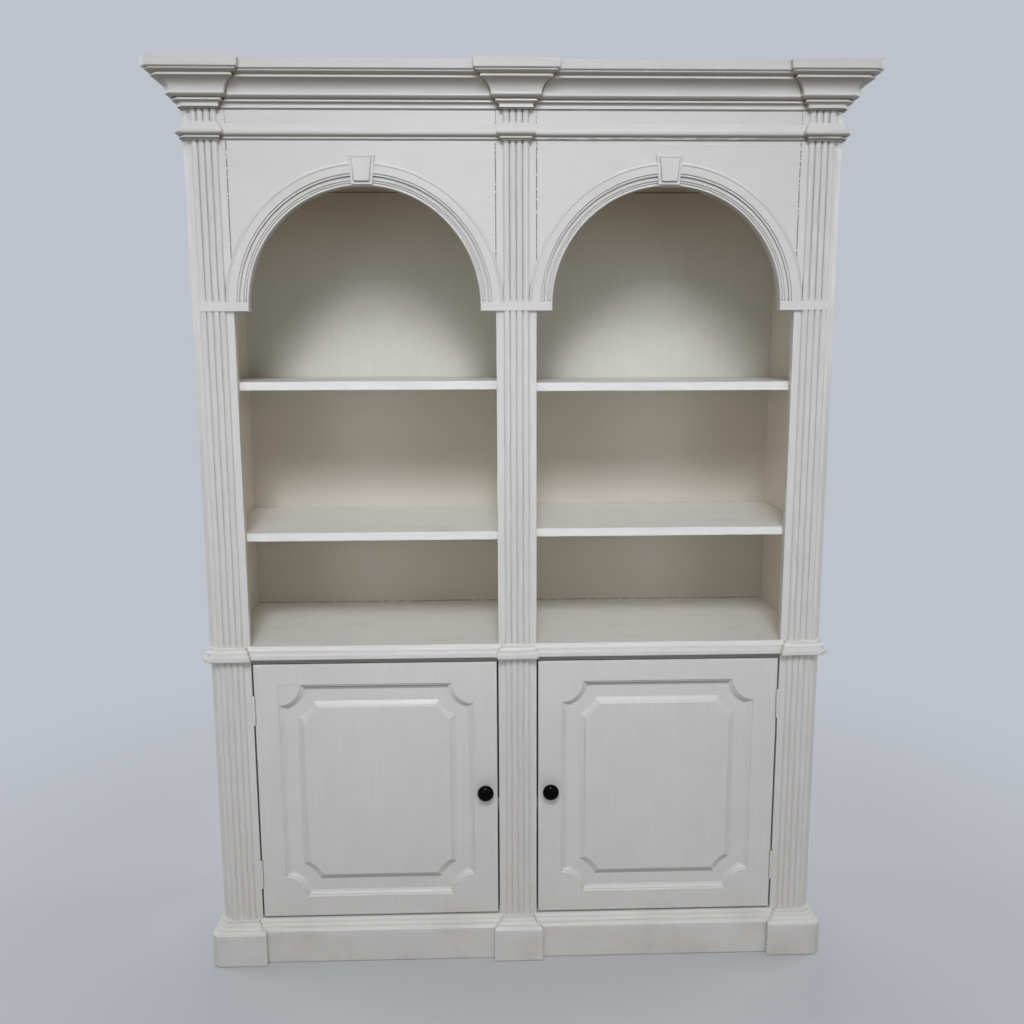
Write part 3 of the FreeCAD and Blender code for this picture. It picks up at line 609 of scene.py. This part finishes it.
def painted(name, colour, grain, marks=(JOINT, MITRE), scuffs=0.0, streaks=0.03, ledge_light=1.26, under=0.42,
            crevice_dirt_and_shade=0.85, shut_in=(0.5, 0.2)):
    """Brushed satin paint: strokes along the grain, cloudy tone, painted light on ledges, painted shade on
    undersides, painted highlights on convex edges, grime with painted shade in the corners, and grime low
    down. Each mark is a mask with its colour, strength and depth."""
    tree = Tree(name)
    stretch = [(6, 160, 160), (160, 6, 160), (160, 160, 6)]["xyz".index(grain)]
    strokes = tree.noise(1.0, 4, stretch, 0.6)
    mottle = tree.noise(17, 5)
    cloudy = tree.math("ADD", tree.noise(2.6, 4), tree.math("MULTIPLY", mottle, 0.6))
    tone = tree.mix(tree.span(cloudy, 0.55, 1.05), shade(colour, 0.96), shade(colour, 1.015))
    # Painted light and shade: faces turned up are lighter, and faces turned down are darker and warmer, as
    # light from above falls on them.
    upward = tree.add("SeparateXYZ", {0: tree.add("NewGeometry").outputs["Normal"]}).outputs[2]
    tone = tree.mix(tree.span(upward, 0.1, 0.95), tone, shade(colour, ledge_light))
    underside_shade_tone = [share * fade for share, fade in zip(shade(colour, under), (1.0, 0.95, 0.84, 1))]
    tone = tree.mix(tree.span(upward, -0.1, -0.95), tone, underside_shade_tone)
    streak = tree.span(strokes, 0.35, 0.7, 1 - streaks, 1.0)
    tone = tree.mix(1.0, tone, tree.add("CombineColor", {0: streak, 1: streak, 2: streak}).outputs[0],
                    "MULTIPLY")
    # Painted highlight: convex edges, found by ambient occlusion from inside, are lightened.
    proud = tree.add("AmbientOcclusion", {"Distance": 0.003}, samples=6, inside=True).outputs["AO"]
    edge = tree.math("MULTIPLY", tree.span(proud, 0.75, 0.45), 0.55)
    tone = tree.mix(edge, tone, shade(colour, 1.2))
    low_down = tree.span(tree.axes[2], 0.0, 0.22, 1.0, 0.0)
    dusty = tree.math("MULTIPLY", low_down, tree.span(tree.noise(9, 5), 0.42, 0.75))
    tone = tree.mix(tree.math("MULTIPLY", dusty, 0.2), tone, GRIME)
    # Grime with painted shade: concave corners and creases, found by ambient occlusion, are darkened
    # towards soot.
    shut = tree.add("AmbientOcclusion", {"Distance": 0.005}, samples=8).outputs["AO"]
    dirt_and_shade_in_crevices = tree.math("MULTIPLY", tree.span(shut, *shut_in), crevice_dirt_and_shade)
    tone = tree.mix(dirt_and_shade_in_crevices, tone, SOOT)
    if scuffs:
        worn = tree.span(tree.noise(13, 6, (0.5, 1, 1), 0.65), 0.55, 0.70)
        tone = tree.mix(tree.math("MULTIPLY", worn, scuffs), tone, (0.60, 0.56, 0.47, 1))
    height = strokes
    for mark, paint, strength, depth in marks:
        mask = mark(tree)
        tone = tree.mix(tree.math("MULTIPLY", mask, strength), tone, paint)
        if depth:
            height = tree.math("SUBTRACT", height, tree.math("MULTIPLY", mask, depth))
    shader = tree.shader
    tree.put(shader.inputs["Base Color"], tone)
    tree.put(shader.inputs["Roughness"], tree.span(mottle, 0.3, 0.7, 0.34, 0.5))
    soft = tree.add("Bevel", {"Radius": 0.0007}, samples=4).outputs[0]
    grainy = tree.bump(height, 0.00035, soft, 0.6)
    tree.put(shader.inputs["Normal"], tree.bump(tree.noise(240, 2), 0.0001, grainy, 0.5))
    return tree.material


def gloss_black():
    """Polished black, with a faint haze."""
    tree = Tree("polished_black")
    haze = tree.noise(120, 4)
    tone = tree.mix(tree.span(haze, 0.4, 0.8), (0.0012, 0.0012, 0.0013, 1), (0.003, 0.0029, 0.0028, 1))
    tree.put(tree.shader.inputs["Base Color"], tone)
    tree.put(tree.shader.inputs["Roughness"], tree.span(haze, 0.3, 0.8, 0.12, 0.2))
    tree.shader.inputs["Specular IOR Level"].default_value = 0.06
    return tree.material


def metal(name, dark, light, roughness):
    """Plain metal with fine scratches and a little tarnish."""
    tree = Tree(name)
    tarnish = tree.noise(260, 4)
    tree.put(tree.shader.inputs["Base Color"], tree.mix(tarnish, dark, light))
    tree.put(tree.shader.inputs["Roughness"], tree.span(tarnish, 0.3, 0.7, roughness, roughness + 0.18))
    tree.shader.inputs["Metallic"].default_value = 1.0
    tree.put(tree.shader.inputs["Normal"], tree.bump(tree.noise(900, 2), 0.00003))
    return tree.material


def dull(name, dark, light):
    """Moulded housing with a fine grained face."""
    tree = Tree(name)
    tree.put(tree.shader.inputs["Base Color"], tree.mix(tree.noise(90, 4), dark, light))
    tree.put(tree.shader.inputs["Roughness"], tree.span(tree.noise(300, 2), 0.3, 0.7, 0.5, 0.65))
    tree.put(tree.shader.inputs["Normal"], tree.bump(tree.noise(700, 2), 0.00005))
    return tree.material


# Inside, milder painted light on ledges and painted shade on undersides, and grime with painted shade in
# the crevices.
INDOORS = {"ledge_light": 1.04, "under": 0.95, "crevice_dirt_and_shade": 0.8}
OUTER = (outer_side, OUTSIDE, 1.0, 0)
REAR = (rear, (0.42, 0.33, 0.22, 1), 0.6, 0)
upright = painted("paint_upright", OUTSIDE, "z")
level_paint = painted("paint_level", OUTSIDE, "x", [MITRE, FASCIA, FILLET, SHADOW_LINES])
panel_paint = painted("paint_panel", OUTSIDE, "x", [JOINT, RIDGE], streaks=0.025)
# The doors get deep painted shade on their down-facing bevels and painted shade in all their concave lines.
door_paint = painted("paint_door", OUTSIDE, "z", [(corner_lines, SOOT, 0.22, 1.2)], under=0.03,
                     crevice_dirt_and_shade=0.8, shut_in=(0.8, 0.42))
inside_paint = painted("paint_inside", LIFTED_INSIDE, "z", [OUTER, REAR], **INDOORS)
# The back's own colour is the lit one; painted shade makes it darker and warmer low down and high in the
# arches.
back_paint = painted("paint_back", (0.755, 0.735, 0.645, 1), "z",
                     [(shade_on_lower_back, SHADED_BACKING, 1.0, 0), (shade_under_ceiling, (0.50, 0.41, 0.265, 1), 0.72, 0),
                      (cleat_shadow, SOOT, 0.8, 0), (deck_joint, SOOT, 0.75, 0), REAR], **INDOORS)
# Painted shade: the ceiling of each bay and the strip under it are painted dark and warm.
ceiling_shade_paint = painted("paint_ceiling_shade", (0.55, 0.47, 0.33, 1), "x", [], **INDOORS)
shelf_paint = painted("paint_shelf", LIGHTENED_SHELVES, "x", [], scuffs=0.22, **INDOORS)
# Painted shadow with dirt: the rail strip under the waist moulding, which stands in shade.
shadow_and_dirt_paint = painted("paint_in_shadow", (0.26, 0.24, 0.205, 1), "x", [])
black = gloss_black()
hinge_paint = painted("paint_hinge", OUTSIDE, "z")
steel = metal("screw_steel", (0.33, 0.32, 0.31, 1), (0.62, 0.61, 0.59, 1), 0.32)
brass = metal("pin_brass", (0.42, 0.30, 0.12, 1), (0.68, 0.52, 0.26, 1), 0.35)
housing = dull("catch_housing", (0.52, 0.45, 0.36, 1), (0.66, 0.60, 0.50, 1))

LEVEL_NODES = ("top_board", "bottom_rails", "frieze", "imposts", "keystones")
INSIDE_NODES = ("left_side", "right_side", "upper_divider", "lower_divider", "bottom_panel")


def coat(name):
    """The finish of a CAD node, from its name."""
    if "knob" in name and "screw" not in name:
        return black
    if "pins" in name and "hinge" not in name:
        return brass
    if "screw" in name or "strike" in name:
        return steel
    if "hinge" in name:
        return hinge_paint
    if "catch" in name:
        return housing
    if "shelf" in name or name == "deck":
        return shelf_paint
    if name.startswith("ceiling"):
        return ceiling_shade_paint
    if name == "back_panel":
        return back_paint
    if name == "waist_rails":
        return shadow_and_dirt_paint
    if name.endswith("arch_panel"):
        return panel_paint
    if name.startswith(INSIDE_NODES):
        return inside_paint
    return level_paint if name.startswith(LEVEL_NODES) else upright


for name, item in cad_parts.items():
    item.data.materials.clear()
    item.data.materials.append(coat(name))

# The pieces

level("cornice", CORNICE_SHARES, CORNICE_REACH, CORNICE, TOP, CORNICE_MARGIN, level_paint)
level("astragal", ASTRAGAL_SHARES, ASTRAGAL_REACH, ASTRAGAL, FRIEZE, ASTRAGAL_MARGIN, level_paint)
level("waist_moulding", WAIST_SHARES, WAIST_REACH, WAIST, DECK, BLOCK_MARGIN, level_paint)
level("base_cap", BASE_CAP_SHARES, BASE_REACH, BASE_CAP, CUPBOARD, BLOCK_MARGIN, level_paint)
level("plinth", PLINTH_SHARES, BASE_REACH, 0.0, BASE_CAP, BLOCK_MARGIN, level_paint)

pilaster("left_pilaster_reeds", -STRIP_MIDDLE, "left_reeds", upright)
pilaster("centre_pilaster_reeds", 0.0, "centre_reeds", upright)
pilaster("right_pilaster_reeds", STRIP_MIDDLE, "right_reeds", upright)

round_arch = archivolt()
piece("right_arch_moulding", round_arch, upright, replaces=["right_archivolt"])
piece("left_arch_moulding", [mirrored(half) for half in round_arch], upright, replaces=["left_archivolt"])
piece("arch_keystones", both(keystone()), upright, replaces=["keystones"])
impost_inner = BAY_IN + IMPOST_REACH
piece("arch_imposts", [block(-impost_inner, impost_inner, IMPOST, IMPOST_TOP, CREST)]
      + both(block(BAY_OUT - IMPOST_REACH, STRIP_MIDDLE + HALF_STRIP, IMPOST, IMPOST_TOP, CREST)),
      level_paint, replaces=["imposts"])

right_door = door()
piece("right_door_leaf", [right_door], door_paint, "right_door", ["right_door"])
piece("left_door_leaf", [mirrored(right_door)], door_paint, "left_door", ["left_door"])
right_knob = turned(KNOB_SHARES, KNOB_RADIUS, KNOB_LENGTH, (KNOB_X, FACE, KNOB_Z))
piece("right_knob_turned", [right_knob], black, "right_door", ["right_knob"])
piece("left_knob_turned", [mirrored(right_knob)], black, "left_door", ["left_knob"])

# The floor, the light and the camera

WALL = (0.515, 0.54, 0.595, 1)
floor_mesh = bpy.data.meshes.new("floor")
floor_mesh.from_pydata([(-9, -9, 0), (9, -9, 0), (9, 9, 0), (-9, 9, 0)], [], [(0, 1, 2, 3)])
floor = bpy.data.objects.new("floor", floor_mesh)
bpy.context.scene.collection.objects.link(floor)
ground = Tree("pale_floor")
ground.put(ground.shader.inputs["Base Color"],
           ground.mix(ground.noise(1.5, 3), (0.66, 0.665, 0.67, 1), (0.69, 0.695, 0.70, 1)))
ground.shader.inputs["Roughness"].default_value = 0.55
far_off = ground.add("VectorMath", {0: ground.place}, operation="LENGTH").outputs["Value"]
rays = ground.add("LightPath").outputs
straight = ground.math("MAXIMUM", rays["Is Camera Ray"], rays["Is Transmission Ray"])
straight = ground.math("MAXIMUM", straight, rays["Is Glossy Ray"])
fade = ground.math("MULTIPLY", ground.span(far_off, 0.9, 2.4), straight)
glow = ground.add("Emission", {"Color": WALL}).outputs[0]
joined = ground.add("MixShader", {0: fade, 1: ground.shader.outputs[0], 2: glow}).outputs[0]
ground.put(ground.nodes["Material Output"].inputs["Surface"], joined)
floor_mesh.materials.append(ground.material)


def lamp(name, place, target, size, power, colour, spread=180):
    """A rectangular lamp that is aimed at a target."""
    data = bpy.data.lights.new(name, "AREA")
    data.spread = math.radians(spread)
    data.shape = "RECTANGLE"
    data.size, data.size_y = size
    data.energy = power
    data.color = colour
    item = bpy.data.objects.new(name, data)
    bpy.context.scene.collection.objects.link(item)
    item.location = place
    item.rotation_euler = (Vector(target) - Vector(place)).to_track_quat("-Z", "Y").to_euler()


COOL = (0.93, 0.98, 1.09)
lamp("key", (-0.2, -3.75, 3.85), (0, -0.1, 1.1), (1.0, 1.3), 82, COOL)
lamp("soft_left", (-1.8, -3.3, 1.5), (0, 0, 1.1), (1.1, 1.2), 9, COOL)
lamp("soft_right", (1.8, -3.3, 1.5), (0, 0, 1.1), (1.1, 1.2), 9, COOL)
lamp("left_pool", (-0.42, -3.75, 3.85), (-0.42, -0.1, 1.16), (0.8, 0.8), 0.62, COOL, 20)
lamp("right_pool", (0.42, -3.75, 3.85), (0.42, -0.1, 1.16), (0.8, 0.8), 0.62, COOL, 20)
lamp("left_side", (-3.4, 1.0, 2.2), (0, 0, 1.0), (1.5, 1.8), 25, COOL)
lamp("right_side", (3.4, 1.0, 2.2), (0, 0, 1.0), (1.5, 1.8), 25, COOL)
lamp("behind", (0, 3.6, 2.6), (0, 0, 1.0), (2.4, 1.6), 40, COOL)

world = bpy.data.worlds.new("room")
bpy.context.scene.world = world
world.use_nodes = True
sky = world.node_tree
sky.nodes.clear()
seen = sky.nodes.new("ShaderNodeLightPath")
either = seen.outputs["Is Camera Ray"]
for ray in ("Is Transmission Ray", "Is Glossy Ray"):
    most = sky.nodes.new("ShaderNodeMath")
    most.operation = "MAXIMUM"
    sky.links.new(either, most.inputs[0])
    sky.links.new(seen.outputs[ray], most.inputs[1])
    either = most.outputs[0]
fill = sky.nodes.new("ShaderNodeBackground")
fill.inputs["Color"].default_value = (1.0, 0.96, 0.90, 1)
fill.inputs["Strength"].default_value = 0.16
wall = sky.nodes.new("ShaderNodeBackground")
wall.inputs["Color"].default_value = WALL
wall.inputs["Strength"].default_value = 1.0
blend = sky.nodes.new("ShaderNodeMixShader")
out = sky.nodes.new("ShaderNodeOutputWorld")
sky.links.new(either, blend.inputs[0])
sky.links.new(fill.outputs[0], blend.inputs[1])
sky.links.new(wall.outputs[0], blend.inputs[2])
sky.links.new(blend.outputs[0], out.inputs["Surface"])

# The camera as it was fitted to the photo: angles in degrees, and a focal length in pixels of 1024.
yaw, pitch, roll = (math.radians(angle) for angle in (1.7402, -9.2561, -0.2236))
camera_data = bpy.data.cameras.new("camera")
camera_data.sensor_width = 36
camera_data.lens = 36 * 984.6045 / 1024
camera = bpy.data.objects.new("camera", camera_data)
bpy.context.scene.collection.objects.link(camera)
bpy.context.scene.camera = camera
forward = np.array([math.sin(yaw) * math.cos(pitch), math.cos(yaw) * math.cos(pitch), math.sin(pitch)])
right = np.array([math.cos(yaw), -math.sin(yaw), 0])
over = np.cross(right, forward)
axes = np.column_stack([math.cos(roll) * right + math.sin(roll) * over,
                        math.cos(roll) * over - math.sin(roll) * right, -forward])
camera.matrix_world = Matrix.Translation((-0.0780052, -2.359158, 1.441419)) @ Matrix(axes).to_4x4()

bpy.context.scene.view_settings.view_transform = "Standard"
